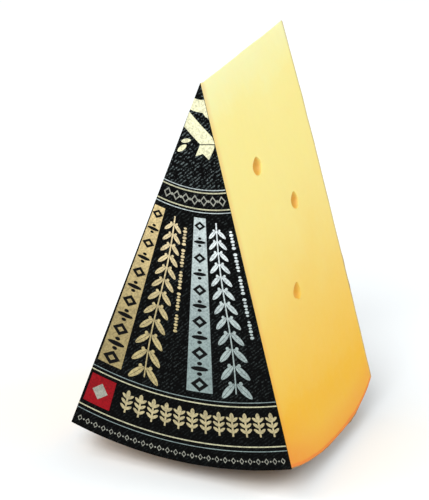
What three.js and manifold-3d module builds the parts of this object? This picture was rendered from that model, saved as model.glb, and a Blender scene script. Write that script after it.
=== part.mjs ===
// A wedge cut from a round of semi-hard cheese, standing on its rind, tip up.
// One flat side of the round still carries its glued paper label.
// Millimetres, +Z up. The round's axis runs along Y, and the label faces -Y.

import * as THREE from 'three';
import { mergeVertices } from 'three/addons/utils/BufferGeometryUtils.js';
import Module from 'manifold-3d';

// Driving dimensions of the round and of the slice taken from it.
const faceRadius = 146;
const rimThickness = 90.4;
const rindBulge = 6.8;
const bulgeFlatness = 2.5;
const bulgeLean = 0.14;
const hubDip = 7.3;
const backCrown = 1.8;
const sliceAngle = THREE.MathUtils.degToRad(34.4);
const labelThickness = 0.4;

// How far the rind is pressed flat where the wedge rests on it.
const restFlatDepth = 0.5;

// How finely the round is turned and its eyes are shaped.
const turnSteps = 540;
const rimSteps = 36;
const backSteps = 12;
const eyeSteps = 20;

// Each eye of the cut faces: its distance from the tip edge, its place across
// the round's thickness from the middle, its width along the thickness,
// its height along the radius, and its depth into the paste.
const rightFaceEyes = [
  { fromTip: 41, across: -14, width: 7.8, height: 7, depth: 3.6 },
  { fromTip: 62.7, across: 11.8, width: 7, height: 6.6, depth: 3.2 },
  { fromTip: 92.3, across: -5.1, width: 7, height: 6.2, depth: 2.4 },
];
const leftFaceEyes = [
  { fromTip: 54, across: 6.5, width: 5.8, height: 6.4, depth: 2.8 },
  { fromTip: 79, across: -17, width: 6.4, height: 6.2, depth: 3.2 },
  { fromTip: 111, across: 19, width: 5.4, height: 5.6, depth: 2.5 },
];

// Worked out from the dimensions above.
const halfThickness = rimThickness / 2;
const halfAngle = sliceAngle / 2;
const labelFaceY = -(rimThickness - labelThickness) / 2;
const middleY = labelFaceY + halfThickness;

// The rind's radius at a share of the half thickness, from -1 at the label
// side to 1 at the other side.
function rindRadius(share) {
  const swell = 1 - Math.abs(share) ** bulgeFlatness;
  return faceRadius + rindBulge * swell * (1 + bulgeLean * share);
}

function widestRadius() {
  let widest = 0;
  for (let step = 0; step <= rimSteps; step += 1) {
    widest = Math.max(widest, rindRadius(-1 + (2 * step) / rimSteps));
  }
  return widest;
}

const tipHeight = widestRadius() - restFlatDepth;

const wasm = await Module();
wasm.setup();

// A closed three.js geometry as a solid, and back again.
function toSolid(geometry) {
  const bare = geometry.clone();
  bare.deleteAttribute('normal');
  bare.deleteAttribute('uv');
  const merged = mergeVertices(bare);
  const vertProperties = Float32Array.from(merged.attributes.position.array);
  const triVerts = Uint32Array.from(merged.index.array);
  return new wasm.Manifold(new wasm.Mesh({ numProp: 3, vertProperties, triVerts }));
}

function toGeometry(solid) {
  const mesh = solid.getMesh();
  const geometry = new THREE.BufferGeometry();
  geometry.setAttribute('position', new THREE.BufferAttribute(mesh.vertProperties, 3));
  geometry.setIndex(new THREE.BufferAttribute(mesh.triVerts, 1));
  geometry.computeVertexNormals();
  return geometry;
}

// The whole round, turned about its axis. Its far side dips towards the hub.
function roundOfCheese() {
  const profile = [new THREE.Vector2(0, labelFaceY)];
  for (let step = 0; step <= rimSteps; step += 1) {
    const share = -1 + (2 * step) / rimSteps;
    profile.push(new THREE.Vector2(rindRadius(share), middleY + share * halfThickness));
  }
  for (let step = backSteps - 1; step >= 0; step -= 1) {
    const share = step / backSteps;
    const dip = hubDip * (1 - share) - backCrown * 4 * share * (1 - share);
    const radius = step === 0 ? 0 : faceRadius * share;
    profile.push(new THREE.Vector2(radius, middleY + halfThickness - dip));
  }
  const round = new THREE.LatheGeometry(profile, turnSteps);
  round.translate(0, 0, tipHeight);
  return toSolid(round);
}

// The paper disc on the label side of the round.
function labelDisc() {
  const outerY = labelFaceY - labelThickness;
  const profile = [
    new THREE.Vector2(0, outerY),
    new THREE.Vector2(faceRadius, outerY),
    new THREE.Vector2(faceRadius, labelFaceY),
    new THREE.Vector2(0, labelFaceY),
  ];
  const disc = new THREE.LatheGeometry(profile, turnSteps);
  disc.translate(0, 0, tipHeight);
  return toSolid(disc);
}

// The space between the two knife cuts, which meet along the round's axis.
function betweenTheCuts() {
  const reach = faceRadius * 1.5;
  const outline = new THREE.Shape();
  outline.moveTo(0, tipHeight);
  outline.lineTo(-reach * Math.sin(halfAngle), tipHeight - reach * Math.cos(halfAngle));
  outline.lineTo(reach * Math.sin(halfAngle), tipHeight - reach * Math.cos(halfAngle));
  const depth = rimThickness * 2;
  const prism = new THREE.ExtrudeGeometry(outline, { depth, bevelEnabled: false });
  prism.rotateX(Math.PI / 2);
  prism.translate(0, depth / 2, 0);
  return toSolid(prism);
}

// The surface underneath, which presses a small flat on the rind.
function ground() {
  const block = new THREE.BoxGeometry(faceRadius * 2, rimThickness * 2, faceRadius);
  block.translate(0, 0, -faceRadius / 2);
  return toSolid(block);
}

// One eye, centred on a cut face: side is 1 for the right face, -1 for the left.
function eyeHollow(eye, side) {
  const hollow = new THREE.SphereGeometry(1, eyeSteps, eyeSteps / 2);
  hollow.scale(eye.depth, eye.width / 2, eye.height / 2);
  hollow.rotateY(side * halfAngle);
  const x = side * eye.fromTip * Math.sin(halfAngle);
  const z = tipHeight - eye.fromTip * Math.cos(halfAngle);
  hollow.translate(x, middleY + eye.across, z);
  return toSolid(hollow);
}

function cheeseWedge() {
  let wedge = roundOfCheese().intersect(betweenTheCuts()).subtract(ground());
  for (const eye of rightFaceEyes) {
    wedge = wedge.subtract(eyeHollow(eye, 1));
  }
  for (const eye of leftFaceEyes) {
    wedge = wedge.subtract(eyeHollow(eye, -1));
  }
  const paste = new THREE.MeshStandardMaterial({ color: 0xf0cf72, roughness: 0.5, metalness: 0 });
  const mesh = new THREE.Mesh(toGeometry(wedge), paste);
  mesh.name = 'cheese_wedge';
  return mesh;
}

function faceLabel() {
  const paper = labelDisc().intersect(betweenTheCuts());
  const ink = new THREE.MeshStandardMaterial({ color: 0x15151a, roughness: 0.6, metalness: 0 });
  const mesh = new THREE.Mesh(toGeometry(paper), ink);
  mesh.name = 'face_label';
  return mesh;
}

const group = new THREE.Group();
group.name = 'cheese';
group.add(cheeseWedge());
group.add(faceLabel());

export default group;
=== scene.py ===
"""A wedge of semi-hard cheese with a printed paper label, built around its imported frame."""

import math

import bmesh
import bpy
import numpy as np
from bpy.props import FloatProperty, FloatVectorProperty, PointerProperty
from mathutils import Matrix, Vector


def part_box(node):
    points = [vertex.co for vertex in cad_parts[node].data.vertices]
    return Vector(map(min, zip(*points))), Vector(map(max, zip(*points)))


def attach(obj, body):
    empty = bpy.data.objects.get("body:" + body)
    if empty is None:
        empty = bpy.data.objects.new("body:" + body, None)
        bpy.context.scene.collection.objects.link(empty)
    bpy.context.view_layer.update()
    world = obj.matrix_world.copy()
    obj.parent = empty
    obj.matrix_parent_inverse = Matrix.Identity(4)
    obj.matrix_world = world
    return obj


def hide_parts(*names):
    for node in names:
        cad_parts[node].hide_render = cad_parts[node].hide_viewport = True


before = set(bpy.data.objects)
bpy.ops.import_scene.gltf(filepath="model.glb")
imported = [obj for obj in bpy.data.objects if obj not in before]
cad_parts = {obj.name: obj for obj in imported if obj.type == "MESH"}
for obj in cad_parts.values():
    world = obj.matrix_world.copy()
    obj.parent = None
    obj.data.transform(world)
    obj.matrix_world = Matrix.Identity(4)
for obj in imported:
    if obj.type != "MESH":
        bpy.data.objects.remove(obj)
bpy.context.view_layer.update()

bl_info = {
    "name": "Cheese Wedge",
    "version": (1, 0, 0),
    "blender": (4, 5, 0),
    "location": "3D View > Sidebar > Cheese",
    "description": "Makes a cheese wedge with eyes, rind and a printed label around its packed frame",
    "category": "Object",
}

MM = 0.001

# The wedge's place and size, read from the frame.
LABEL_LOW, LABEL_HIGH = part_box("face_label")
CHEESE_LOW, CHEESE_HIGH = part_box("cheese_wedge")
TIP_HEIGHT = LABEL_HIGH.z
FACE_RADIUS = LABEL_HIGH.z - LABEL_LOW.z
HALF_ANGLE = math.asin(LABEL_HIGH.x / FACE_RADIUS)
LABEL_Y = LABEL_LOW.y
FRONT_Y = CHEESE_LOW.y
RIM_BACK_Y = CHEESE_HIGH.y
HALF_THICKNESS = (RIM_BACK_Y - FRONT_Y) / 2
MIDDLE_Y = (RIM_BACK_Y + FRONT_Y) / 2

# How the round swells at the rind and dips towards its hub, as in the part's own source.
RIND_BULGE = 6.8 * MM
BULGE_FLATNESS = 2.5
BULGE_LEAN = 0.14
HUB_DIP = 7.3 * MM
BACK_CROWN = 1.8 * MM

# Spacing of the threads that the pressing cloth printed in the rind.
CLOTH_PITCH = 2.4 * MM

# The eyes of the two cut faces, in millimetres: distance from the tip edge, place across
# the round from its middle, half height along the radius, half width, depth, and how
# lopsided its outline is.
RIGHT_EYES = (
    (41.0, -14.0, 3.5, 3.9, 3.6, 0.03),
    (62.7, 11.8, 3.3, 3.5, 3.2, 0.05),
    (92.3, -5.1, 3.1, 3.5, 2.4, 0.1),
)
LEFT_EYES = (
    (54.0, 6.5, 3.2, 2.9, 2.8, 0.05),
    (79.0, -17.0, 3.1, 3.2, 3.2, 0.06),
    (111.0, 19.0, 2.8, 2.7, 2.5, 0.08),
)

# The power that shapes an eye's outline: 2 is a plain oval, and less is more pointed.
EYE_POINT = 1.75

# Shares of an eye's size: how far its bottom leans aside, and where the flat cut round it ends.
EYE_LEAN = 0.3
EYE_LIP = 1.1

# How its bowl narrows and deepens below the lip, and where in it the first ring lies.
BOWL_NARROWING = 0.62
BOWL_DEEPENING = 1.1
BOWL_START = 0.35

# Mesh cells across the block of the cut that an eye replaces, and rings of points in it.
EYE_BLOCK = 12
EYE_FLAT_RINGS = 4
EYE_BOWL_RINGS = 10

# Unevenness of the cuts and of the rind: share of the height, size of the lumps and seed.
CUT_WAVES = ((0.75, 24 * MM, 11), (0.3, 7 * MM, 12), (0.12, 2.4 * MM, 13))
RIND_LUMPS = ((0.8, 16 * MM, 21), (0.45, 5.5 * MM, 22), (0.3, 2.2 * MM, 23))

# Places of the mesh's first lines next to an edge, in millimetres from it.
EDGE_LINES = (0.0, 0.18, 0.4, 0.7, 1.1)


def from_screen(red, green, blue):
    """A colour given as it shows on a screen, 0 to 255, as linear light."""
    shares = (red / 255, green / 255, blue / 255)
    return tuple(s / 12.92 if s <= 0.04045 else ((s + 0.055) / 1.055) ** 2.4 for s in shares)


# ---------------------------------------------------------------- settings


def colour_setting(name, description, screen_colour):
    """A colour for the panel, given as it shows on a screen."""
    default = from_screen(*screen_colour)
    kind = {"subtype": "COLOR", "min": 0.0, "max": 1.0}
    return FloatVectorProperty(name=name, description=description, default=default, **kind)


def length_setting(name, description, default, smallest):
    """A length for the panel."""
    kind = {"unit": "LENGTH", "min": smallest}
    return FloatProperty(name=name, description=description, default=default, **kind)


class CheeseSettings(bpy.types.PropertyGroup):
    """Sizes and colours of the cheese itself."""

    cell_size: length_setting(
        "Cell size", "Spacing of the mesh over the cut faces and the rind", 0.9 * MM, 0.4 * MM
    )
    edge_rounding: length_setting(
        "Edge rounding", "Radius of the edges that the knife and handling leave", 0.7 * MM, 0.1 * MM
    )
    cut_waviness: length_setting(
        "Cut waviness", "How far the cut faces wander from flat", 0.1 * MM, 0.0
    )
    rind_relief: length_setting(
        "Rind relief", "Height of the lumps and hollows of the rind", 0.2 * MM, 0.0
    )
    tip_colour: colour_setting("Tip colour", "Colour of the paste along the tip edge", (241, 236, 174))
    heart_colour: colour_setting(
        "Heart colour", "Colour of the paste near the heart of the round", (244, 229, 146)
    )
    middle_colour: colour_setting(
        "Middle colour", "Colour of the paste half way to the rind", (239, 213, 119)
    )
    rim_colour: colour_setting("Rim colour", "Colour of the paste close to the rind", (235, 182, 40))
    outer_colour: colour_setting(
        "Outer colour", "Colour of the paste right at the rind", (234, 178, 36)
    )
    under_rind_colour: colour_setting(
        "Under-rind colour", "Colour of the thin dried zone just inside the rind", (229, 122, 6)
    )
    # The eyes' colour is partly the paste's own and partly painted shade deep in the hollows.
    eye_shade_colour: colour_setting("Eye colour", "Colour of the paste deep in the eyes", (232, 172, 60))
    rind_colour: colour_setting("Rind colour", "Main colour of the rind's surface", (166, 130, 82))
    rind_edge_colour: colour_setting(
        "Rind edge colour", "Colour of the cut paste next to the bare flat side", (196, 176, 112)
    )
    rind_warm_colour: colour_setting(
        "Rind warm colour", "Colour of the rind's reddish smears", (172, 116, 68)
    )
    rind_dark_colour: colour_setting(
        "Rind dark colour", "Colour of the rind's darker patches", (112, 84, 54)
    )


class LabelSettings(bpy.types.PropertyGroup):
    """Sizes and colours of the paper label and its print."""

    print_height: length_setting(
        "Print height", "How far the print stands proud of the paper", 0.05 * MM, 0.01 * MM
    )
    linen_pitch: length_setting(
        "Linen pitch", "Spacing of the diagonal ribs embossed in the paper", 1.1 * MM, 0.3 * MM
    )
    paper_colour: colour_setting("Paper colour", "Colour of the label's ground", (5, 5, 5))
    # The ribs' colour is a painted highlight: lighter than the ground where the raised linen catches the
    # light.
    rib_highlight_colour: colour_setting(
        "Emboss colour", "Colour of the raised ribs, which catch the light", (72, 82, 81)
    )
    # Each print's second colour, towards the rim, is painted shade: the print darkens away from the tip.
    gold_colour: colour_setting("Gold colour", "Colour of the gold print", (224, 200, 146))
    gold_shade_colour: colour_setting(
        "Gold far colour", "Colour of the gold print towards the rim", (166, 149, 104)
    )
    silver_colour: colour_setting("Silver colour", "Colour of the silver print", (200, 210, 208))
    silver_shade_colour: colour_setting(
        "Silver far colour", "Colour of the silver print towards the rim", (142, 158, 155)
    )
    leaf_gold_colour: colour_setting(
        "Leaf gold colour", "Colour of the gold spray and dots", (232, 212, 168)
    )
    leaf_gold_shade_colour: colour_setting(
        "Leaf gold far colour", "Colour of the gold spray towards the rim", (186, 170, 122)
    )
    leaf_silver_colour: colour_setting(
        "Leaf silver colour", "Colour of the silver spray and dots", (238, 244, 243)
    )
    leaf_silver_shade_colour: colour_setting(
        "Leaf silver far colour", "Colour of the silver spray towards the rim", (158, 172, 168)
    )
    cream_colour: colour_setting("Cream colour", "Colour of the cream print", (236, 232, 192))
    straw_colour: colour_setting("Straw colour", "Colour of the frieze of sprigs", (184, 171, 131))
    fine_colour: colour_setting(
        "Fine print colour", "Colour of the rows of small lozenges and of the diamond", (156, 156, 143)
    )
    red_colour: colour_setting("Red colour", "Colour of the red patch", (144, 12, 22))


class StageSettings(bpy.types.PropertyGroup):
    """The camera's place, the floor and the lights."""

    azimuth: FloatProperty(
        name="Azimuth",
        description="Camera's turn about the vertical, from looking along +Y",
        default=math.radians(19.86),
        subtype="ANGLE",
    )
    elevation: FloatProperty(
        name="Elevation",
        description="Camera's height above the horizontal, as an angle",
        default=math.radians(22.03),
        subtype="ANGLE",
    )
    roll: FloatProperty(
        name="Roll",
        description="Camera's turn about its own line of sight",
        default=math.radians(3.31),
        subtype="ANGLE",
    )
    distance: FloatProperty(
        name="Distance",
        description="Distance from the camera to the point it looks at",
        default=1.1967,
        unit="LENGTH",
    )
    focal_length: FloatProperty(
        name="Focal length",
        description="Camera's focal length in millimetres",
        default=232.8,
    )
    aim: FloatVectorProperty(
        name="Aim",
        description="Point that the camera looks at",
        default=(-7.6 * MM, 0.3 * MM, 71.8 * MM),
        subtype="XYZ",
        unit="LENGTH",
    )
    floor_colour: FloatVectorProperty(
        name="Floor colour",
        description="Colour of the floor",
        default=(0.88, 0.897, 0.902),
        subtype="COLOR",
        min=0.0,
        max=1.0,
    )
    sky_colour: FloatVectorProperty(
        name="Sky colour",
        description="Colour of the surroundings",
        default=(0.93, 0.975, 1.0),
        subtype="COLOR",
        min=0.0,
        max=1.0,
    )
    sky_strength: FloatProperty(
        name="Sky strength",
        description="Brightness of the white surroundings",
        default=0.51,
        min=0.0,
    )
    light_power: FloatProperty(
        name="Light power",
        description="Power of all the soft lights together",
        default=140.0,
        min=0.0,
        unit="POWER",
    )


# ---------------------------------------------------------------- shader maths


class Term:
    """One value flowing through a material, on which Python's operators add Math nodes."""

    def __init__(self, maker, socket):
        self.maker = maker
        self.socket = socket

    def math(self, operation, *values):
        return self.maker.node("ShaderNodeMath", {"operation": operation}, dict(enumerate(values)))

    def __add__(self, other):
        return self.math("ADD", self, other)

    __radd__ = __add__

    def __sub__(self, other):
        return self.math("SUBTRACT", self, other)

    def __rsub__(self, other):
        return self.math("SUBTRACT", other, self)

    def __mul__(self, other):
        return self.math("MULTIPLY", self, other)

    __rmul__ = __mul__

    def __truediv__(self, other):
        return self.math("DIVIDE", self, other)

    def __pow__(self, other):
        return self.math("POWER", self, other)

    def __abs__(self):
        return self.math("ABSOLUTE", self)

    def root(self):
        return self.math("SQRT", self)

    def sine(self):
        return self.math("SINE", self)

    def lesser(self, other):
        return self.math("MINIMUM", self, other)

    def greater(self, other):
        return self.math("MAXIMUM", self, other)

    def step(self, start, end):
        """0 before start, 1 after end, and smooth between them."""
        settings = {"interpolation_type": "SMOOTHSTEP"}
        low, high = (start, end) if start < end else (end, start)
        inputs = {"Value": self, "From Min": low, "From Max": high}
        rising = self.maker.node("ShaderNodeMapRange", settings, inputs)
        return rising if start < end else 1 - rising


class Maker:
    """Builds one material's node tree."""

    def __init__(self, name):
        self.material = bpy.data.materials.new(name)
        self.material.use_nodes = True
        self.tree = self.material.node_tree
        self.tree.nodes.clear()

    def node(self, kind, settings=None, inputs=None, output=0):
        """Adds a node: its settings first, then its sockets' values or links."""
        made = self.tree.nodes.new(kind)
        for name, value in (settings or {}).items():
            if name == "stops":
                self.set_stops(made.color_ramp, value)
            else:
                setattr(made, name, value)
        for name, value in (inputs or {}).items():
            if isinstance(value, Term):
                self.tree.links.new(value.socket, made.inputs[name])
            else:
                made.inputs[name].default_value = value
        return Term(self, made.outputs[output])

    def set_stops(self, ramp, stops):
        """Gives a colour ramp its places and colours, with a smooth run between them."""
        ramp.interpolation = "CARDINAL"
        while len(ramp.elements) < len(stops):
            ramp.elements.new(1.0)
        for element, (place, colour) in zip(ramp.elements, stops):
            element.position = place
            element.color = (*colour, 1.0)

    def place(self):
        """The point being shaded, in the row frame."""
        return self.node("ShaderNodeTexCoord", output="Object")

    def parts(self, vector):
        split = self.node("ShaderNodeSeparateXYZ", inputs={0: vector})
        outputs = split.socket.node.outputs
        return [Term(self, outputs[axis]) for axis in range(3)]

    def section(self):
        """The point, its three parts, its drop below the tip edge and its distance from it."""
        place = self.place()
        x, y, z = self.parts(place)
        drop = TIP_HEIGHT - z
        return place, x, y, z, drop, (x * x + drop * drop).root()

    def stretched(self, vector, factors):
        settings = {"operation": "MULTIPLY"}
        return self.node("ShaderNodeVectorMath", settings, {0: vector, 1: factors})

    def noise(self, vector, size, detail=2.0, roughness=0.5):
        """Soft noise from 0 to 1, whose lumps are about this size."""
        inputs = {"Vector": vector, "Scale": 1 / size, "Detail": detail, "Roughness": roughness}
        return self.node("ShaderNodeTexNoise", {"noise_dimensions": "3D"}, inputs)

    def blend(self, mask, first, second, mode="MIX"):
        """first where mask is 0, second where it is 1; both are colours."""
        settings = {"data_type": "RGBA", "blend_type": mode}
        first = first if isinstance(first, Term) else (*first, 1.0)
        second = second if isinstance(second, Term) else (*second, 1.0)
        return self.node("ShaderNodeMix", settings, {0: mask, 6: first, 7: second}, output=2)

    def bump(self, height, distance, strength):
        inputs = {"Height": height, "Distance": distance, "Strength": strength}
        return self.node("ShaderNodeBump", inputs=inputs)

    def finish(self, inputs):
        """Ends the tree in a Principled surface with these sockets."""
        surface = self.node("ShaderNodeBsdfPrincipled", inputs=inputs)
        end = self.tree.nodes.new("ShaderNodeOutputMaterial")
        self.tree.links.new(surface.socket, end.inputs["Surface"])
        return self.material


# ---------------------------------------------------------------- materials

# Tints painted onto the paper and the print: a painted highlight for the paper's bright specks, a darker
# tint where the print is worn, and a painted highlight for the foil's sparkle.
PAINTED_GLINT_COLOUR = (0.16, 0.18, 0.18)
WORN_TINT = (0.6, 0.6, 0.62)
GLITTER_HIGHLIGHT_TINT = (1.3, 1.3, 1.25)

# The print is painted darker between these two distances from the tip edge: painted shade.
PAINTED_SHADE_START = 42 * MM
PAINTED_SHADE_END = 110 * MM


def cheese_material(settings):
    """Paste that runs from pale to orange, with a dried zone under a mottled rind."""
    maker = Maker("cheese_paste_and_rind")
    place, x, y, z, drop, radius = maker.section()
    rim_depth = swollen_radius((y - MIDDLE_Y) / HALF_THICKNESS) - radius
    out = radius / FACE_RADIUS
    back_depth = dipped_back(out) - y
    front_depth = y - FRONT_Y
    cut_depth = drop * math.sin(HALF_ANGLE) - abs(x) * math.cos(HALF_ANGLE)

    # Paste: a slow gradient from the heart outwards, clouded by soft patches.
    clouds = maker.noise(place, 26 * MM, 3.0)
    fine = maker.noise(place, 2.2 * MM, 4.0, 0.6)
    ripeness = out + 0.14 * (clouds - 0.5) + 0.03 * (fine - 0.5)
    stops = (
        (0.0, settings.tip_colour[:]),
        (0.12, settings.heart_colour[:]),
        (0.5, settings.middle_colour[:]),
        (0.86, settings.rim_colour[:]),
        (1.0, settings.outer_colour[:]),
    )
    paste = maker.node("ShaderNodeValToRGB", {"stops": stops}, {0: ripeness})
    specks = maker.noise(place, 0.7 * MM, 3.0, 0.7).step(0.62, 0.74)
    paste = maker.blend(0.12 * specks, paste, settings.tip_colour[:])

    # The dried zone turns orange towards the rim, more so in the corner by the label, a little
    # along the label, and dull next to the bare side.
    wander = 0.7 * MM * (maker.noise(place, 7 * MM, 2.0) - 0.5)
    rim_edge = rim_depth + wander
    orange = settings.under_rind_colour[:]
    corner = front_depth.step(34 * MM, 4 * MM) * rim_edge.step(26 * MM, 3 * MM)
    zones = (
        (0.36, rim_edge.step(13 * MM, 1.5 * MM), orange),
        (0.36, corner, orange),
        (0.95, rim_edge.step(2.1 * MM, 1.3 * MM), orange),
        (0.4, back_depth.step(2.6 * MM, 0.9 * MM), settings.rind_edge_colour[:]),
        (0.26, front_depth.step(4.5 * MM, 0.2 * MM), orange),
    )
    for strength, zone, tint in zones:
        paste = maker.blend(strength * zone, paste, tint)

    # The eyes are a little deeper in colour than the cut around them, more so towards their bottoms: partly
    # the paste's own colour and partly painted shade in the hollows.
    heart = rim_depth.lesser(back_depth).lesser(front_depth).step(3 * MM, 4 * MM)
    eye = cut_depth.step(0.2 * MM, 1.4 * MM) * heart
    paste = maker.blend(0.7 * eye, paste, settings.eye_shade_colour[:])

    # Rind: ochre skin with darker smears, small pale flecks and a cloth's imprint.
    patches = maker.noise(place, 14 * MM, 5.0, 0.6).step(0.4, 0.66)
    smears = maker.noise(maker.stretched(place, (1.0, 0.35, 1.0)), 5 * MM, 4.0, 0.65).step(0.45, 0.75)
    rind = maker.blend(0.75 * patches, settings.rind_colour[:], settings.rind_dark_colour[:])
    rind = maker.blend(0.35 * smears, rind, settings.rind_warm_colour[:])
    flecks = maker.noise(place, 1.6 * MM, 2.0).step(0.66, 0.74)
    rind = maker.blend(0.3 * flecks, rind, settings.middle_colour[:])
    cloth_turn = math.tau / CLOTH_PITCH
    weave = (x * cloth_turn).sine() * ((y + z) * cloth_turn).sine()
    worn_cloth = weave.step(-0.1, -0.9) * clouds.step(0.62, 0.4)
    rind = maker.blend(0.2 * worn_cloth, rind, settings.rind_dark_colour[:])
    skin = rim_edge.step(0.7 * MM, 0.3 * MM).greater(back_depth.step(1.2 * MM, 0.6 * MM))
    # Away from the cuts the rind stays whole, in its hollows and where it is pressed flat.
    whole = rim_depth.lesser(back_depth).step(3 * MM, 2 * MM)
    skin = skin.greater(cut_depth.step(0.3 * MM, 1.0 * MM) * whole)
    colour = maker.blend(skin, paste, rind)

    relief = 0.5 * fine + skin * (0.7 * weave + 1.8 * patches + 1.2 * smears)
    normal = maker.bump(relief, 0.12 * MM, 0.55)
    gloss = 0.42 + 0.12 * fine - 0.14 * eye + 0.18 * skin
    inputs = {
        "Base Color": colour,
        "Roughness": gloss,
        "Normal": normal,
        "Subsurface Weight": 0.3,
        "Subsurface Radius": (1.0, 0.65, 0.35),
        "Subsurface Scale": 2.2 * MM,
        "Specular IOR Level": 0.22,
    }
    return maker.finish(inputs)


def linen(maker, settings):
    """The label's embossed twill: broken ribs that rise from left to right, 0 to 1."""
    place = maker.place()
    x, _, z = maker.parts(place)
    wander = maker.noise(place, 2.2 * MM, 2.0)
    turn = math.tau / settings.linen_pitch
    ribs = 0.5 + 0.5 * ((x - z) * (turn * math.sqrt(0.5)) + 8 * wander).sine()
    breaks = maker.noise(place, 0.9 * MM, 3.0, 0.65).step(0.38, 0.66)
    return ribs * breaks


def paper_material(settings):
    """Dark coated paper with a twill emboss that shows most near the tip, its ribs and specks painted
    lighter as painted highlights.
    """
    maker = Maker("label_paper")
    place, *_, radius = maker.section()
    calm = 1 - 0.8 * radius.step(SMALL_BAND_START - 2 * MM, SMALL_BAND_START)
    calm = calm * (1 - 0.6 * radius.step(GREAT_BAND[0] - 3 * MM, GREAT_BAND[0]))
    ribs = linen(maker, settings)
    grain = maker.noise(place, 0.45 * MM, 3.0, 0.7)
    tone = maker.noise(place, 10 * MM, 3.0)
    # The ribs are painted lighter towards the rib colour: a painted highlight, strongest near the tip.
    shade = (ribs * (0.5 + tone)).step(0.08, 1.0) * calm
    ground = settings.paper_colour[:]
    colour = maker.blend(shade, ground, settings.rib_highlight_colour[:])
    # Painted highlights: bright specks where the grain and the ribs would catch the light.
    painted_glints = (0.75 * grain + 0.3 * ribs).step(0.56, 0.74) * calm
    colour = maker.blend(0.5 * painted_glints, colour, PAINTED_GLINT_COLOUR)
    bump = maker.bump(ribs + 0.4 * grain, 0.06 * MM, 0.8)
    inputs = {
        "Base Color": colour,
        "Roughness": 0.55 + 0.2 * grain,
        "Normal": bump,
        "Specular IOR Level": 0.03,
    }
    return maker.finish(inputs)


def print_material(name, colour, shade_colour, metal, settings):
    """Ink or foil pressed on the linen: speckled, with sparkling specks painted lighter as painted
    highlights, and painted shade that darkens it away from the tip.
    """
    maker = Maker(name)
    place, *_, radius = maker.section()
    # Painted shade: the print's colour darkens away from the tip towards its shaded colour.
    far = radius.step(PAINTED_SHADE_START, PAINTED_SHADE_END)
    ribs = linen(maker, settings)
    grain = maker.noise(place, 0.8 * MM, 4.0, 0.7)
    cloud = maker.noise(place, 9 * MM, 3.0)
    wear = (0.8 * grain + 0.1 * ribs + 0.25 * cloud).step(0.4, 0.66)
    tint = maker.blend(far, colour, shade_colour)
    worn = maker.blend(1.0, tint, WORN_TINT, "MULTIPLY")
    tint = maker.blend(wear, worn, tint)
    # Painted highlights: small specks of the print painted brighter, as sparkle.
    painted_glitter = maker.noise(place, 0.4 * MM, 2.0, 0.8).step(0.6, 0.7)
    tint = maker.blend(0.5 * painted_glitter, tint, maker.blend(1.0, tint, GLITTER_HIGHLIGHT_TINT, "MULTIPLY"))
    inputs = {
        "Base Color": tint,
        "Metallic": metal,
        "Roughness": 0.4 + 0.2 * grain,
        "Normal": maker.bump(0.6 * ribs + 0.6 * grain, 0.05 * MM, 0.5),
        "Specular IOR Level": 0.08,
    }
    return maker.finish(inputs)


def floor_material(settings):
    """Plain pale studio floor with a barely visible tone."""
    maker = Maker("studio_floor")
    tone = maker.noise(maker.place(), 0.4, 2.0)
    pale = settings.floor_colour[:]
    colour = maker.blend(tone, pale, tuple(0.985 * part for part in pale))
    return maker.finish({"Base Color": colour, "Roughness": 0.8, "Specular IOR Level": 0.0})


# ---------------------------------------------------------------- the round's shape


def swollen_radius(share):
    """Distance from the tip edge to the rind; share runs from -1 to 1 across the round."""
    swell = 1 - abs(share) ** BULGE_FLATNESS
    return FACE_RADIUS + RIND_BULGE * swell * (1 + BULGE_LEAN * share)


def dipped_back(share):
    """Where the bare side lies; share runs from 0 at the tip edge to 1 at the face's rim."""
    return RIM_BACK_Y - HUB_DIP * (1 - share) + 4 * BACK_CROWN * share * (1 - share)


def rind_radius(y):
    return swollen_radius(np.clip((y - MIDDLE_Y) / HALF_THICKNESS, -1, 1))


def back_y(radius):
    return dipped_back(np.clip(radius / FACE_RADIUS, 0, 1))


def polar_point(radius, angle, y):
    """A point at this distance and angle from the tip edge, angle 0 being straight down."""
    across = radius * np.sin(angle)
    height = TIP_HEIGHT - radius * np.cos(angle)
    return np.stack(np.broadcast_arrays(across, y, height), axis=-1)


def depths(points):
    """How far each point lies outside each face: two cuts, rind, back and front."""
    x, y, z = points.T
    drop = TIP_HEIGHT - z
    radius = np.hypot(x, drop)
    away = drop * math.sin(HALF_ANGLE)
    right = x * math.cos(HALF_ANGLE) - away
    left = -x * math.cos(HALF_ANGLE) - away
    step = 0.05 * MM
    slope = (rind_radius(y + step) - rind_radius(y - step)) / (2 * step)
    rim = (radius - rind_radius(y)) / np.sqrt(1 + slope**2)
    return np.stack([right, left, rim, y - back_y(radius), FRONT_Y - y])


def outside(points, rounding):
    """Signed distance from the wedge with its edges rounded."""
    gaps = depths(points)
    # Under the label the knife's edge stays crisp, because the paper holds it.
    crisp = np.clip((points[:, 1] - FRONT_Y) / (3 * MM), 0.15, 1)
    radius = rounding * crisp
    raised = np.maximum(gaps + radius, 0)
    inner = np.minimum(gaps.max(axis=0) + radius, 0)
    return np.maximum(np.sqrt((raised**2).sum(axis=0)) - radius + inner, -points[:, 2])


def slope_of(points, rounding):
    """The direction in which the distance grows fastest: the surface's outward normal."""
    nudge = 0.02 * MM
    parts = []
    for axis in range(3):
        shift = np.zeros(3)
        shift[axis] = nudge
        rise = outside(points + shift, rounding) - outside(points - shift, rounding)
        parts.append(rise / (2 * nudge))
    return np.stack(parts, axis=-1)


def settle(points, rounding, rounds=6):
    """Moves points onto the rounded wedge."""
    for _ in range(rounds):
        slope = slope_of(points, rounding)
        steep = np.maximum((slope**2).sum(axis=1), 0.2)
        points = points - slope * (outside(points, rounding) / steep)[:, None]
    return points


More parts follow.
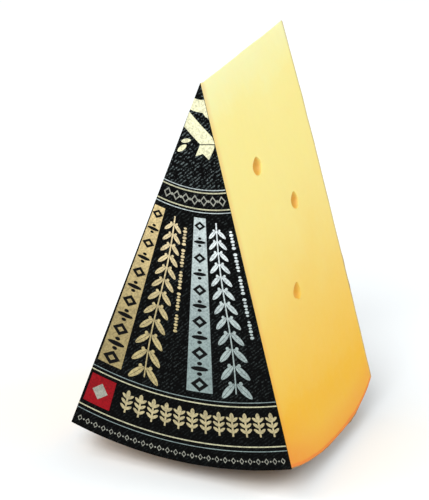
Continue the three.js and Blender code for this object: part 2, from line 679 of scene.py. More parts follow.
def ripple(points, size, seed, waves=28):
    """Smooth unevenness of about unit height whose lumps are about this size."""
    chance = np.random.default_rng(seed)
    total = np.zeros(len(points))
    for _ in range(waves):
        heading = chance.normal(size=3)
        heading /= np.linalg.norm(heading)
        length = size * chance.uniform(0.7, 1.6) * 2
        phase = chance.uniform(0, math.tau)
        total += np.sin(points @ heading * (math.tau / length) + phase)
    return total / math.sqrt(waves / 2)


def rippled(points, ripples):
    """Several sizes of unevenness together."""
    return sum(share * ripple(points, size, seed) for share, size, seed in ripples)


def smooth_step(value, start, end):
    share = np.clip((value - start) / (end - start), 0, 1)
    return share * share * (3 - 2 * share)


# ---------------------------------------------------------------- mesh helpers


def graded(length, cell):
    """Shares from 0 to 1 along a length, with finer cells at both ends for the edges."""
    ends = np.array(EDGE_LINES) * MM
    cells = max(2, round((length - 2 * ends[-1]) / cell))
    middle = np.linspace(ends[-1], length - ends[-1], cells + 1)[1:-1]
    return np.concatenate([ends, middle, length - ends[::-1]]) / length


def stitch(row, shares, next_row, next_shares):
    """Triangles between two rows of points that hold different numbers of cells."""
    triangles = []
    here = there = 0
    while here < len(row) - 1 or there < len(next_row) - 1:
        last_there = there == len(next_row) - 1
        if last_there or (here < len(row) - 1 and shares[here + 1] <= next_shares[there + 1]):
            triangles.append((row[here], row[here + 1], next_row[there]))
            here += 1
        else:
            triangles.append((row[here], next_row[there + 1], next_row[there]))
            there += 1
    return triangles


def mesh_piece(name, points, faces, material, smooth_below=None):
    """A closed mesh riding on the root body, its faces turned outwards."""
    mesh = bpy.data.meshes.new(name)
    mesh.from_pydata([tuple(p) for p in np.asarray(points, float)], [], faces)
    shell = bmesh.new()
    shell.from_mesh(mesh)
    bmesh.ops.recalc_face_normals(shell, faces=shell.faces)
    if any(not edge.is_manifold for edge in shell.edges):
        raise RuntimeError(f"{name} isn't closed")
    shell.to_mesh(mesh)
    shell.free()
    mesh.materials.append(material)
    if smooth_below is not None:
        mesh.shade_smooth()
        mesh.set_sharp_from_angle(angle=smooth_below)
    piece = bpy.data.objects.new(name, mesh)
    bpy.context.scene.collection.objects.link(piece)
    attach(piece, "root")
    return piece


# ---------------------------------------------------------------- cheese


class WedgeMesh:
    """Grid over the wedge: a loop of stations round its section, in layers across it."""

    def __init__(self, settings):
        self.cell = settings.cell_size
        self.rounding = settings.edge_rounding
        self.along = graded(FACE_RADIUS + RIND_BULGE, self.cell)
        self.across = graded(2 * HALF_THICKNESS, self.cell)
        self.around = graded(2 * HALF_ANGLE * FACE_RADIUS, self.cell)
        side = len(self.along) - 1
        rim = HALF_ANGLE * (1 - 2 * self.around[1:-1])
        angles = [[0], np.full(side, HALF_ANGLE), rim, np.full(side, -HALF_ANGLE)]
        shares = [[0], self.along[1:], np.ones(len(rim)), self.along[:0:-1]]
        self.side = side
        self.angles = np.concatenate(angles)
        self.shares = np.concatenate(shares)
        self.stations = len(self.angles)
        self.points = [self.layer(share) for share in self.across]
        self.points = list(np.concatenate(self.points))
        self.bowls = []
        self.faces = []
        self.open_cells = set()

    def layer(self, share):
        """One loop round the section, at this share of the thickness."""
        back = back_y(self.shares * FACE_RADIUS)
        y = FRONT_Y + share * (back - FRONT_Y)
        return polar_point(self.shares * rind_radius(y), self.angles, y)

    def station(self, step, side):
        """The loop's station this many cells from the tip, on the right (1) or left (-1) cut."""
        return step if side > 0 else self.stations - step

    def index(self, step, layer, side):
        return layer * self.stations + self.station(step, side)

    def add_points(self, points):
        first = len(self.points)
        self.points.extend(points)
        return list(range(first, first + len(points)))

    def add_walls(self):
        """The cut faces, the tip edge and the rind."""
        for layer in range(len(self.across) - 1):
            low = layer * self.stations
            high = low + self.stations
            for here in range(self.stations):
                if (layer, here) in self.open_cells:
                    continue
                then = (here + 1) % self.stations
                self.faces.append((low + here, low + then, high + then, high + here))

    def add_flat_side(self, layer):
        """Fills the labelled side (first layer) or the bare side (last layer)."""
        share = self.across[layer]
        row = [layer * self.stations]
        row_shares = [0.5]
        for step in range(1, self.side + 1):
            radius = self.along[step] * FACE_RADIUS
            right = self.index(step, layer, 1)
            left = self.index(step, layer, -1)
            if step == self.side:
                next_row = list(range(right, left + 1))
                next_shares = list(self.around)
            else:
                cells = max(1, round(2 * HALF_ANGLE * radius / self.cell))
                next_shares = [place / cells for place in range(cells + 1)]
                inner = HALF_ANGLE * (1 - 2 * np.array(next_shares[1:-1]))
                y = FRONT_Y + share * (back_y(radius) - FRONT_Y)
                inner_points = polar_point(np.full(len(inner), radius), inner, y)
                next_row = [right, *self.add_points(inner_points), left]
            self.faces.extend(stitch(row, row_shares, next_row, next_shares))
            row = next_row
            row_shares = next_shares

    def add_eye(self, eye, side, seed):
        """Opens a block of the cut face and fills it with a smooth round hollow."""
        from_tip, across, half_height, half_width, depth, lopsided = eye
        from_tip *= MM
        middle_y = MIDDLE_Y + across * MM
        step = int(np.abs(self.along * rind_radius(middle_y) - from_tip).argmin())
        edge = back_y(from_tip)
        share = (middle_y - FRONT_Y) / (edge - FRONT_Y)
        layer = int(np.abs(self.across - share).argmin())
        half = EYE_BLOCK // 2
        low_step, high_step = step - half, step + half
        low_layer, high_layer = layer - half, layer + half
        for open_layer in range(low_layer, high_layer):
            for open_step in range(low_step, high_step):
                here = self.station(open_step, side) - (0 if side > 0 else 1)
                self.open_cells.add((open_layer, here))
        corners = [(s, low_layer) for s in range(low_step, high_step)]
        corners += [(high_step, layer) for layer in range(low_layer, high_layer)]
        corners += [(s, high_layer) for s in range(high_step, low_step, -1)]
        corners += [(low_step, layer) for layer in range(high_layer, low_layer, -1)]
        ring = [self.index(s, layer, side) for s, layer in corners]
        outer = np.array([self.points[index] for index in ring])

        down = np.array([side * math.sin(HALF_ANGLE), 0, -math.cos(HALF_ANGLE)])
        inward = np.array([-side * math.cos(HALF_ANGLE), 0, -math.sin(HALF_ANGLE)])
        aside = np.array([0, 1.0, 0])
        centre = np.array([0, middle_y, TIP_HEIGHT]) + from_tip * down
        offset = outer - centre
        bearing = np.arctan2(offset @ aside, offset @ down)
        chance = np.random.default_rng(seed)
        phase = chance.uniform(0, math.tau)
        tall = np.abs(np.cos(bearing) / (half_height * MM)) ** EYE_POINT
        wide = np.abs(np.sin(bearing) / (half_width * MM)) ** EYE_POINT
        reach = (tall + wide) ** (-1 / EYE_POINT)
        reach *= 1 + 0.02 * np.sin(5 * bearing + phase) + lopsided * np.sin(3 * bearing)
        arms = np.cos(bearing)[:, None] * down + np.sin(bearing)[:, None] * aside
        lip = centre + arms * (EYE_LIP * reach)[:, None]
        rings = []
        for place in range(1, EYE_FLAT_RINGS + 1):
            share = place / EYE_FLAT_RINGS
            rings.append(outer + (lip - outer) * share)
        for place in range(EYE_BOWL_RINGS):
            turn = (place + BOWL_START) / EYE_BOWL_RINGS * math.pi / 2
            width = math.cos(turn) ** BOWL_NARROWING
            sunk = math.sin(turn) ** BOWL_DEEPENING * depth * MM
            lean = -EYE_LEAN * (1 - width) * half_width * MM
            rounder = width * (reach + (reach.mean() - reach) * (1 - width))
            rings.append(centre + lean * aside + arms * rounder[:, None] + sunk * inward)
        for points in rings:
            inner = self.add_points(points)
            for here in range(len(ring)):
                then = (here + 1) % len(ring)
                self.faces.append((ring[here], ring[then], inner[then], inner[here]))
            ring = inner
            self.bowls.extend(inner)
        bottom = centre - EYE_LEAN * half_width * MM * aside + depth * MM * inward
        (middle,) = self.add_points([bottom])
        self.bowls.append(middle)
        for here in range(len(ring)):
            self.faces.append((ring[here], ring[(here + 1) % len(ring)], middle))

    def finished_points(self, settings):
        """All points, rounded at the edges and uneven as a cut and a rind are."""
        points = np.array(self.points)
        fixed = np.zeros(len(points), bool)
        fixed[self.bowls] = True
        points[~fixed] = settle(points[~fixed], self.rounding)
        normals = slope_of(points, self.rounding)
        normals /= np.maximum(np.linalg.norm(normals, axis=1), 1e-6)[:, None]
        right, left, rim, back, front = depths(points)
        cut = np.maximum(right, left)
        skin = smooth_step(np.maximum(rim, back) - cut, -0.6 * MM, 0.6 * MM)
        skin[fixed] = 0
        amount = settings.cut_waviness * rippled(points, CUT_WAVES) * (1 - skin)
        amount += settings.rind_relief * (rippled(points, RIND_LUMPS) - 0.4) * skin
        amount *= smooth_step(-front, 0.1 * MM, 2.5 * MM)
        amount *= smooth_step(points[:, 2], 0.02 * MM, 1.2 * MM)
        points += normals * amount[:, None]
        points[:, 2] = np.maximum(points[:, 2], 0)
        return points


def make_cheese(settings):
    wedge = WedgeMesh(settings)
    for eyes, side, first_seed in ((RIGHT_EYES, 1, 100), (LEFT_EYES, -1, 200)):
        for seed, eye in enumerate(eyes, first_seed):
            wedge.add_eye(eye, side, seed)
    wedge.add_walls()
    wedge.add_flat_side(0)
    wedge.add_flat_side(len(wedge.across) - 1)
    points = wedge.finished_points(settings)
    material = cheese_material(settings)
    smooth = math.radians(40)
    return mesh_piece("cheese_body", points, wedge.faces, material, smooth)


# ---------------------------------------------------------------- label and print

# The paper's mesh cells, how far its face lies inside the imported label's and how much that
# varies, and how deep its back reaches into the cheese.
PAPER_CELL = 2 * MM
PAPER_INSET = 0.05 * MM
PAPER_UNEVENNESS = 0.02 * MM
PAPER_ROOT = 0.04 * MM

# How deep the print reaches into the paper, and the largest cells of its bands.
PRINT_DEPTH = 0.03 * MM
BAND_CELL = 1.5 * MM
BAND_ROW = 3 * MM


def label_y(x, z):
    """The label's outer surface, which lies a hair unevenly on the cheese."""
    points = np.stack([np.ravel(x), np.zeros(np.size(x)), np.ravel(z)], axis=-1)
    lift = PAPER_UNEVENNESS * ripple(points, 22 * MM, 31)
    return (LABEL_Y + PAPER_INSET + lift).reshape(np.shape(x))


def make_label_paper(settings):
    """The paper: a thin closed sheet with its edges flush with the two cuts."""
    steps = round(FACE_RADIUS / PAPER_CELL)
    points = []
    rows = []
    for step in range(steps + 1):
        radius = FACE_RADIUS * step / steps
        cells = max(1, round(2 * HALF_ANGLE * radius / PAPER_CELL)) if step else 0
        shares = [place / cells for place in range(cells + 1)] if cells else [0.5]
        angles = HALF_ANGLE * (1 - 2 * np.array(shares))
        first = len(points)
        points.extend(polar_point(np.full(len(angles), radius), angles, 0.0))
        rows.append((list(range(first, len(points))), shares))
    flat = np.array(points)
    outer = flat.copy()
    outer[:, 1] = label_y(flat[:, 0], flat[:, 2])
    inner = flat.copy()
    inner[:, 1] = FRONT_Y + PAPER_ROOT
    count = len(flat)
    faces = []
    for (row, shares), (next_row, next_shares) in zip(rows, rows[1:]):
        triangles = stitch(row, shares, next_row, next_shares)
        faces.extend(triangles)
        faces.extend([(c + count, b + count, a + count) for a, b, c in triangles])
    rights = [row[0] for row, _ in rows]
    lefts = [row[-1] for row, _ in rows]
    loop = rights + rows[-1][0][1:-1] + lefts[:0:-1]
    for here, then in zip(loop, loop[1:] + loop[:1]):
        faces.append((here, then, then + count, here + count))
    material = paper_material(settings)
    points = np.concatenate([outer, inner])
    return mesh_piece("label_paper", points, faces, material, math.radians(30))


class PrintLayer:
    """Thin closed shapes lying on the label, gathered into one piece."""

    def __init__(self, height):
        self.height = height
        self.points = []
        self.faces = []

    def lay(self, flat):
        """Adds points, given as across and up, on the print's top and just inside the paper."""
        flat = np.asarray(flat, float).reshape(-1, 2)
        paper = label_y(flat[:, 0], flat[:, 1])
        first = len(self.points)
        for lift in (-self.height, PRINT_DEPTH):
            self.points.extend(np.stack([flat[:, 0], paper + lift, flat[:, 1]], axis=-1))
        return first, len(flat)

    def sheet(self, radii, angles):
        """A patch between rows of equal length: radii and angles are 2-D arrays."""
        radii, angles = np.broadcast_arrays(radii, angles)
        rows, columns = radii.shape
        placed = polar_point(radii, angles, 0.0)
        first, count = self.lay(placed[..., [0, 2]])

        def at(row, column, under=0):
            return first + under * count + row * columns + column

        for row in range(rows - 1):
            for column in range(columns - 1):
                for under in (0, 1):
                    corners = ((0, 0), (0, 1), (1, 1), (1, 0))
                    self.faces.append([at(row + a, column + b, under) for a, b in corners])
        rim = [(0, c) for c in range(columns)] + [(r, columns - 1) for r in range(1, rows)]
        rim += [(rows - 1, c) for c in range(columns - 2, -1, -1)]
        rim += [(r, 0) for r in range(rows - 2, 0, -1)]
        for here, then in zip(rim, rim[1:] + rim[:1]):
            self.faces.append((at(*here), at(*then), at(*then, 1), at(*here, 1)))

    def band(self, inner, outer, start, end):
        """Part of a ring, from one radius to another and between two angles."""
        steps = max(2, round(abs(end - start) * outer / BAND_CELL))
        rings = max(2, round((outer - inner) / BAND_ROW) + 1)
        self.sheet(np.linspace(inner, outer, rings)[:, None], np.linspace(start, end, steps)[None])

    def shape(self, outline, centre):
        """A patch with this outline, whose points, as across and drop, all see the centre."""
        first, count = self.lay(self.upright([centre, *outline]))
        loop = list(range(1, count))
        for here, then in zip(loop, loop[1:] + loop[:1]):
            self.faces.append((first, first + here, first + then))
            self.faces.append((first + count, first + count + then, first + count + here))
        self.wall(first, count, loop)

    def wall(self, first, count, loop):
        for here, then in zip(loop, loop[1:] + loop[:1]):
            here, then = first + here, first + then
            self.faces.append((here, then, then + count, here + count))

    def upright(self, flat):
        """Turns a drop below the tip into a height above the floor."""
        flat = np.asarray(flat, float)
        return np.stack([flat[:, 0], TIP_HEIGHT - flat[:, 1]], axis=-1)

    def moved(self, outline, radius, angle, turn, size):
        """An outline's points, set at a radius and angle; they run along, then across it."""
        down = np.array([math.sin(angle), math.cos(angle)])
        aside = np.array([math.cos(angle), -math.sin(angle)])
        cosine, sine = math.cos(turn), math.sin(turn)
        for along, across in outline:
            turned = (along * cosine - across * sine, along * sine + across * cosine)
            yield radius * down + size * (turned[0] * down + turned[1] * aside)

    def figure(self, outline, radius, angle, turn=0.0, size=1.0):
        """A small solid shape."""
        placed = list(self.moved(outline, radius, angle, turn, size))
        self.shape(placed, np.mean(placed, axis=0))

    def hoop(self, outline, inner, radius, angle, size=1.0):
        """A small shape with a hole of the same outline, this share of its size."""
        outer_points = list(self.moved(outline, radius, angle, 0.0, size))
        inner_points = list(self.moved(outline, radius, angle, 0.0, size * inner))
        first, count = self.lay(self.upright(outer_points + inner_points))
        half = len(outline)
        for here in range(half):
            then = (here + 1) % half
            for under in (first, first + count):
                cell = (here, then, half + then, half + here)
                self.faces.append([under + corner for corner in cell])
        self.wall(first, count, list(range(half)))
        self.wall(first, count, list(range(half, 2 * half)))


def oval(half_length, half_width, steps=18, point=1.0):
    """A closed oval; point above 1 sharpens its two ends into a leaf."""
    outline = []
    for place in range(steps):
        turn = math.tau * place / steps
        across = math.copysign(abs(math.sin(turn)) ** point, math.sin(turn))
        outline.append((half_length * math.cos(turn), half_width * across))
    return outline


def half_leaf(half_length, half_width, side):
    """The half of a leaf on one side of its midrib, which stays open as a thin gap."""
    gap = 0.06 * half_width * side
    turns = np.linspace(0, math.pi, 14)
    rounded = np.sin(turns) ** 1.35 * half_width * side
    edge = [(half_length * math.cos(turn), gap + bulge) for turn, bulge in zip(turns, rounded)]
    return edge[::side]


def lozenge(half_length, half_width):
    return [(half_length, 0), (0, half_width), (-half_length, 0), (0, -half_width)]


def bar(half_length, half_width):
    return [
        (half_length, half_width),
        (-half_length, half_width),
        (-half_length, -half_width),
        (half_length, -half_width),
    ]


# Radii of the label's rings, each from the centre of the round.
TIP_RING = (6.1 * MM, 10.7 * MM)
SMALL_BAND_START = 40.4 * MM
COLUMNS = (50.0 * MM, 117.0 * MM)
GREAT_BAND = (121.3 * MM, 136.7 * MM)
WIDE_RULES = (40.5 * MM, 46.7 * MM, 121.4 * MM, 136.9 * MM)
FINE_RULES = (39.4 * MM, 47.9 * MM, 119.8 * MM, 138.7 * MM)
WIDE_RULE = 0.46 * MM
FINE_RULE = 0.3 * MM

# Where each column's bar, spray and dots lie, in degrees from straight down.
GOLD_BAR = (-16.75, -12.1)
SILVER_BAR = (0.6, 5.6)
GOLD_SPRAY = -7.5
SILVER_SPRAY = 10.0
GOLD_DOTS = -2.6
SILVER_DOTS = 15.3

# A spray's sideways swing, the distance between its pairs of leaves and their lean in degrees.
SPRAY_SWING = 0.6 * MM
SPRAY_PITCH = 5.4 * MM
SPRAY_LEAN = 42

# How many marks a bar has, how many places a row of dots has, after how many one is left out,
# and between which radii the row lies.
BAR_MARKS = 11
DOTS = 34
DOT_GROUP = 7
DOTS_SPAN = (COLUMNS[0] + 5 * MM, COLUMNS[1] - 22 * MM)

# The frieze of sprigs and the red patch beside it, with a diamond on the patch.
FRIEZE_SPRIGS = 12
FRIEZE_SPAN = (-9.7, 15.7)
FRIEZE_LEAN = 52
PATCH_RADII = (123 * MM, 134.9 * MM)
PATCH_SPAN = (-16.75, -12.2)
DIAMOND_PLACE = (129 * MM, -14.5)

# Rows of small lozenges: radius, first and last angle in degrees, count, and height.
FINE_ROWS = (
    (43.5 * MM, -13.2, 14.2, 7, 3.9 * MM),
    (142.6 * MM, -16.2, 16.2, 26, 2.5 * MM),
)

# The folded ribbon by the tip, in millimetres across and below the tip edge: the outline of
# each part and a point inside it. Then its leaves: radius, angle, turn and size.
RIBBON_BAND = ((-3.4, 11.2), (0.8, 15.0), (5.7, 19.1), (6.7, 21.4), (1.3, 22.4), (-2.1, 19.6), (-5.0, 17.0))
RIBBON_TAIL = ((1.2, 22.8), (6.7, 21.8), (6.4, 23.8), (4.9, 27.6), (2.5, 25.8), (-0.2, 27.2))
RIBBON_PARTS = ((RIBBON_BAND, (1.5, 18.5)), (RIBBON_TAIL, (3.2, 24.2)))
TIP_LEAVES = ((22.4, -10.5, -60, 1.0), (25.6, -12.2, -35, 1.15))

# How metallic the foil of the bars and of the sprays looks, 0 to 1.
FOIL_METAL = 0.5
LEAF_METAL = 0.3

# The dark marks and the diamond stand prouder than the print under them.
PROUD_PRINT = 1.8

# How bright the wide rules are, as a share of the cream print.
RULE_SHADE = 0.62


def add_rules(layer, radii, width):
    """Thin rings from one cut to the other."""
    for radius in radii:
        layer.band(radius - width / 2, radius + width / 2, -HALF_ANGLE, HALF_ANGLE)


def add_spray(layer, middle, swing):
    """A herb spray down a column: a stem with paired leaves that grow with the radius."""
    middle = math.radians(middle)
    inner, outer = COLUMNS
    places = np.linspace(inner + 1.5 * MM, outer - 0.5 * MM, 60)
    sway = middle + swing * np.sin((places - inner) / (11 * MM)) / places
    width = 0.5 * MM
    edges = np.array([-0.5, 0.5])[None]
    layer.sheet(places[:, None], sway[:, None] + edges * width / places[:, None])
    radius = inner + 4 * MM
    side = 1
    while radius < outer - 4.5 * MM:
        size = 0.68 + 0.72 * (radius - inner) / (outer - inner)
        angle = float(np.interp(radius, places, sway))
        for hand in (side, -side):
            lean = math.radians(SPRAY_LEAN) * hand
            down = 2.6 * MM * size
            aside = 2.35 * MM * size * hand
            for half in (1, -1):
                leaf = half_leaf(2.9 * MM * size, 0.9 * MM * size, half)
                layer.figure(leaf, radius + down, angle + aside / (radius + down), lean)
            berry = oval(0.55 * MM * size, 0.55 * MM * size, 12)
            drop = radius + 0.4 * MM * size
            layer.figure(berry, drop, angle + 1.5 * MM * size * hand / drop)
        radius += SPRAY_PITCH * size
        side = -side


def add_dots(layer, angle):
    """Fine dots down a column, in small groups."""
    angle = math.radians(angle)
    start, end = DOTS_SPAN
    for place in range(DOTS):
        if place % DOT_GROUP == DOT_GROUP - 1:
            continue
        radius = start + (end - start) * place / (DOTS - 1)
        size = 0.8 + 0.3 * (place % 2)
        layer.figure(oval(0.5 * MM, 0.72 * MM, 12), radius, angle, size=size)


def add_bar(layer, span):
    """A plain foil bar down a column."""
    start, end = (math.radians(part) for part in span)
    layer.band(COLUMNS[0], COLUMNS[1], start, end)


def add_bar_marks(layer, span):
    """Dark marks down a bar, growing with it: open lozenges, and dots either side of a leaf."""
    middle = math.radians(sum(span) / 2)
    for place in range(BAR_MARKS):
        radius = COLUMNS[0] + (COLUMNS[1] - COLUMNS[0]) * (place + 0.5) / BAR_MARKS
        size = 0.62 + 0.46 * (radius - COLUMNS[0]) / (COLUMNS[1] - COLUMNS[0])
        if place % 2:
            layer.figure(oval(0.9 * MM, 3.3 * MM, 18, 1.1), radius, middle, size=size)
            for hand in (-1, 1):
                dot = radius + hand * 2.0 * MM * size
                layer.figure(oval(0.7 * MM, 1.0 * MM, 12), dot, middle, size=size)
        else:
            layer.hoop(lozenge(2.7 * MM, 3.3 * MM), 0.42, radius, middle, size=size)


def add_frieze(layer):
    """Upright herb sprigs between the two great rules."""
    low = GREAT_BAND[0] + 3.1 * MM
    high = GREAT_BAND[1] - 3.6 * MM
    middle = (low + high) / 2
    half = (high - low) / 2
    start, end = (math.radians(part) for part in FRIEZE_SPAN)
    for place in range(FRIEZE_SPRIGS):
        angle = start + (end - start) * place / (FRIEZE_SPRIGS - 1)
        layer.figure(bar(half, 0.34 * MM), middle, angle)
        layer.figure(oval(1.5 * MM, 0.8 * MM, 16, 1.2), low + 0.9 * MM, angle)
        for row in range(3):
            radius = low + (2.0 + 2.2 * row) * MM
            for hand in (-1, 1):
                leaf = oval(1.45 * MM, 0.58 * MM, 16, 1.25)
                aside = angle + hand * 1.1 * MM / radius
                layer.figure(leaf, radius, aside, math.radians(-FRIEZE_LEAN) * hand)


def add_fine_rows(layer):
    """Rows of small open lozenges with dots between them."""
    for radius, start, end, count, height in FINE_ROWS:
        start, end = math.radians(start), math.radians(end)
        for place in range(2 * count - 1):
            angle = start + (end - start) * place / (2 * count - 2)
            if place % 2:
                layer.figure(oval(0.13 * height, 0.13 * height, 10), radius, angle)
            else:
                layer.hoop(lozenge(0.5 * height, 0.36 * height), 0.66, radius, angle)


def add_patch(layer):
    """The red patch at the foot of the gold column."""
    layer.band(*PATCH_RADII, *(math.radians(part) for part in PATCH_SPAN))


def add_diamond(layer):
    """The plain diamond on the red patch."""
    radius, angle = DIAMOND_PLACE
    layer.figure(lozenge(3.4 * MM, 3.1 * MM), radius, math.radians(angle))


def add_tip_ribbons(layer):
    """The emblem round the centre: a ring, a folded ribbon's end and two leaves."""
    angles = np.linspace(-HALF_ANGLE, HALF_ANGLE, 9)
    spur = 2.3 * MM * smooth_step(angles, math.radians(7), math.radians(16))
    inner = np.full(len(angles), TIP_RING[0])
    layer.sheet(np.stack([inner, TIP_RING[1] + spur]), angles[None])
    for outline, centre in RIBBON_PARTS:
        layer.shape([(a * MM, b * MM) for a, b in outline], (centre[0] * MM, centre[1] * MM))
    for radius, angle, turn, size in TIP_LEAVES:
        leaf = oval(1.9 * MM, 0.75 * MM, 18, 1.25)
        layer.figure(leaf, radius * MM, math.radians(angle), math.radians(turn), size)


def print_piece(name, height, material, slot, draw, *values):
    """Makes one piece of print out of what draw adds to an empty layer."""
    layer = PrintLayer(height)
    draw(layer, *values)
    mesh_piece(name, layer.points, layer.faces, material)


def make_print(settings):
    """Every printed piece, one for each ink and motif."""
    height = settings.print_height
    proud = height * PROUD_PRINT
    # Each foil's second colour, darker towards the rim, is painted shade.
    foils = {
        "gold": (settings.gold_colour, settings.gold_shade_colour, FOIL_METAL),
        "silver": (settings.silver_colour, settings.silver_shade_colour, FOIL_METAL),
        "leaf_gold": (settings.leaf_gold_colour, settings.leaf_gold_shade_colour, LEAF_METAL),
        "leaf_silver": (settings.leaf_silver_colour, settings.leaf_silver_shade_colour, LEAF_METAL),
    }
    gold, silver, leaf_gold, leaf_silver = (
        print_material(f"{name}_print", near[:], far[:], metal, settings)
        for name, (near, far, metal) in foils.items()
    )
    plain = {
        "cream_print": settings.cream_colour[:],
        "rule_print": tuple(RULE_SHADE * part for part in settings.cream_colour),
        "straw_print": settings.straw_colour[:],
        "grey_print": settings.fine_colour[:],
        "red_print": settings.red_colour[:],
        "dark_print": settings.paper_colour[:],
    }
    inks = {name: print_material(name, colour, colour, 0.0, settings) for name, colour in plain.items()}
    cream, rules, straw, grey, red, dark = inks.values()
    print_piece("wide_rules", height, rules, "cream_print", add_rules, WIDE_RULES, WIDE_RULE)
    print_piece("fine_rules", height, silver, "silver_print", add_rules, FINE_RULES, FINE_RULE)
    sets = (
        ("gold", gold, leaf_gold, GOLD_BAR, GOLD_SPRAY, GOLD_DOTS, SPRAY_SWING),
        ("silver", silver, leaf_silver, SILVER_BAR, SILVER_SPRAY, SILVER_DOTS, -SPRAY_SWING),
    )
    for name, material, leaf, span, spray, dots, swing in sets:
        slot = f"{name}_print"
        print_piece(f"{name}_bar", height, material, slot, add_bar, span)
        print_piece(f"{name}_bar_marks", proud, dark, "label_paper", add_bar_marks, span)
        print_piece(f"{name}_herb_spray", height, leaf, slot, add_spray, spray, swing)
        print_piece(f"{name}_dots", height, leaf, slot, add_dots, dots)
    print_piece("herb_frieze", height, straw, "cream_print", add_frieze)
    print_piece("fine_rows", height, grey, "cream_print", add_fine_rows)
    print_piece("red_patch", height, red, "red_print", add_patch)
    print_piece("patch_diamond", proud, grey, "cream_print", add_diamond)
    print_piece("tip_ribbons", height, cream, "cream_print", add_tip_ribbons)


# ---------------------------------------------------------------- stage

# The soft lights: azimuth from the label's side, elevation, and share of the whole power.
SOFT_LIGHTS = (
    ("front", 0, 40, 0.45),
    ("right_back", 110, 40, 0.235),
    ("left_high", -55, 55, 0.2),
    ("left_low", -90, 20, 0.115),
)
LIGHT_DISTANCE = 3.2
LIGHT_SIZE = 1.85
FLOOR_HALF_WIDTH = 6.0


def view_axes(settings):
    """The camera's right, up and backward directions."""
    turn, tilt = settings.azimuth, settings.elevation
    across = math.cos(tilt)
    back = Vector((math.sin(turn) * across, -math.cos(turn) * across, math.sin(tilt)))
    right = Vector((0, 0, 1)).cross(back).normalized()
    up = back.cross(right)
    cosine, sine = math.cos(settings.roll), math.sin(settings.roll)
    return cosine * right + sine * up, cosine * up - sine * right, back


def add_camera(settings):
    right, up, back = view_axes(settings)
    data = bpy.data.cameras.new("view")
    data.lens = settings.focal_length
    data.sensor_width = 36
    data.clip_start = 0.05
    camera = bpy.data.objects.new("view", data)
    turn = Matrix((right, up, back)).transposed().to_4x4()
    place = Vector(settings.aim) + settings.distance * back
    camera.matrix_world = Matrix.Translation(place) @ turn
    bpy.context.scene.collection.objects.link(camera)
    bpy.context.scene.camera = camera


def add_soft_light(name, place, aim, power):
    """A round soft light that faces the point it is aimed at."""
    data = bpy.data.lights.new(name, "AREA")
    data.shape = "DISK"
    data.size = LIGHT_SIZE
    data.energy = power
    light = bpy.data.objects.new(name, data)
    light.location = place
    light.rotation_euler = (Vector(aim) - Vector(place)).to_track_quat("-Z", "Y").to_euler()
    bpy.context.scene.collection.objects.link(light)


def add_floor(settings):
    half = FLOOR_HALF_WIDTH
    mesh = bpy.data.meshes.new("floor")
    corners = [(-half, -half, 0), (half, -half, 0), (half, half, 0), (-half, half, 0)]
    mesh.from_pydata(corners, [], [(0, 1, 2, 3)])
    mesh.materials.append(floor_material(settings))
    floor = bpy.data.objects.new("floor", mesh)
    bpy.context.scene.collection.objects.link(floor)


def add_sky(settings):
    world = bpy.data.worlds.new("studio")
    world.use_nodes = True
    background = world.node_tree.nodes["Background"]
    background.inputs["Color"].default_value = (*settings.sky_colour, 1)
    background.inputs["Strength"].default_value = settings.sky_strength
    bpy.context.scene.world = world


# ---------------------------------------------------------------- operators and panel


class CHEESE_OT_body(bpy.types.Operator):
    """Make the cheese: paste, eyes and rind in one mesh"""

    bl_idname = "cheese.body"
    bl_label = "Cheese body"

    def execute(self, context):
        piece = make_cheese(context.scene.cheese_settings)
        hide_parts("cheese_wedge")
        return {"FINISHED"}


class CHEESE_OT_label(bpy.types.Operator):
    """Make the paper label on the flat side"""

    bl_idname = "cheese.label"
    bl_label = "Paper label"

    def execute(self, context):
        piece = make_label_paper(context.scene.label_settings)
        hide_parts("face_label")
        return {"FINISHED"}


class CHEESE_OT_print(bpy.types.Operator):
    """Make the rules, bars, sprays and other print on the label"""

    bl_idname = "cheese.print"
    bl_label = "Label print"

    def execute(self, context):
        make_print(context.scene.label_settings)
        return {"FINISHED"}


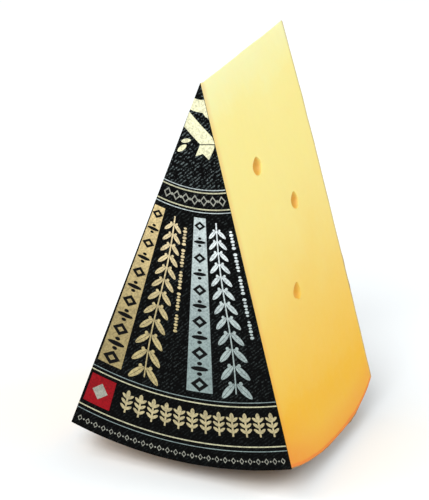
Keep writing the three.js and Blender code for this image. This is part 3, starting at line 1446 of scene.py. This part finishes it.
class CHEESE_OT_stage(bpy.types.Operator):
    """Set the camera, floor and lights"""

    bl_idname = "cheese.stage"
    bl_label = "Studio stage"

    def execute(self, context):
        settings = context.scene.stage_settings
        add_camera(settings)
        add_floor(settings)
        add_sky(settings)
        middle = (0, 0, TIP_HEIGHT / 2)
        for name, azimuth, elevation, share in SOFT_LIGHTS:
            turn, tilt = math.radians(azimuth), math.radians(elevation)
            across = LIGHT_DISTANCE * math.cos(tilt)
            height = LIGHT_DISTANCE * math.sin(tilt)
            place = (across * math.sin(turn), -across * math.cos(turn), height)
            add_soft_light(name, place, middle, share * settings.light_power)
        context.scene.view_settings.view_transform = "Standard"
        return {"FINISHED"}


class CHEESE_PT_panel(bpy.types.Panel):
    """Lists the wedge's pieces and their settings"""

    bl_label = "Cheese Wedge"
    bl_idname = "CHEESE_PT_panel"
    bl_space_type = "VIEW_3D"
    bl_region_type = "UI"
    bl_category = "Cheese"

    def draw(self, context):
        groups = (
            (context.scene.cheese_settings, ("cheese.body",)),
            (context.scene.label_settings, ("cheese.label", "cheese.print")),
            (context.scene.stage_settings, ("cheese.stage",)),
        )
        for settings, operators in groups:
            box = self.layout.box()
            for name in settings.__annotations__:
                box.prop(settings, name)
            for operator in operators:
                box.operator(operator)


CLASSES = (
    CheeseSettings,
    LabelSettings,
    StageSettings,
    CHEESE_OT_body,
    CHEESE_OT_label,
    CHEESE_OT_print,
    CHEESE_OT_stage,
    CHEESE_PT_panel,
)


def register():
    for cls in CLASSES:
        bpy.utils.register_class(cls)
    bpy.types.Scene.cheese_settings = PointerProperty(type=CheeseSettings)
    bpy.types.Scene.label_settings = PointerProperty(type=LabelSettings)
    bpy.types.Scene.stage_settings = PointerProperty(type=StageSettings)


def unregister():
    del bpy.types.Scene.stage_settings
    del bpy.types.Scene.label_settings
    del bpy.types.Scene.cheese_settings
    for cls in reversed(CLASSES):
        bpy.utils.unregister_class(cls)


def main():
    register()
    bpy.ops.cheese.body()
    bpy.ops.cheese.label()
    bpy.ops.cheese.print()
    bpy.ops.cheese.stage()


if __name__ == "__main__":
    main()
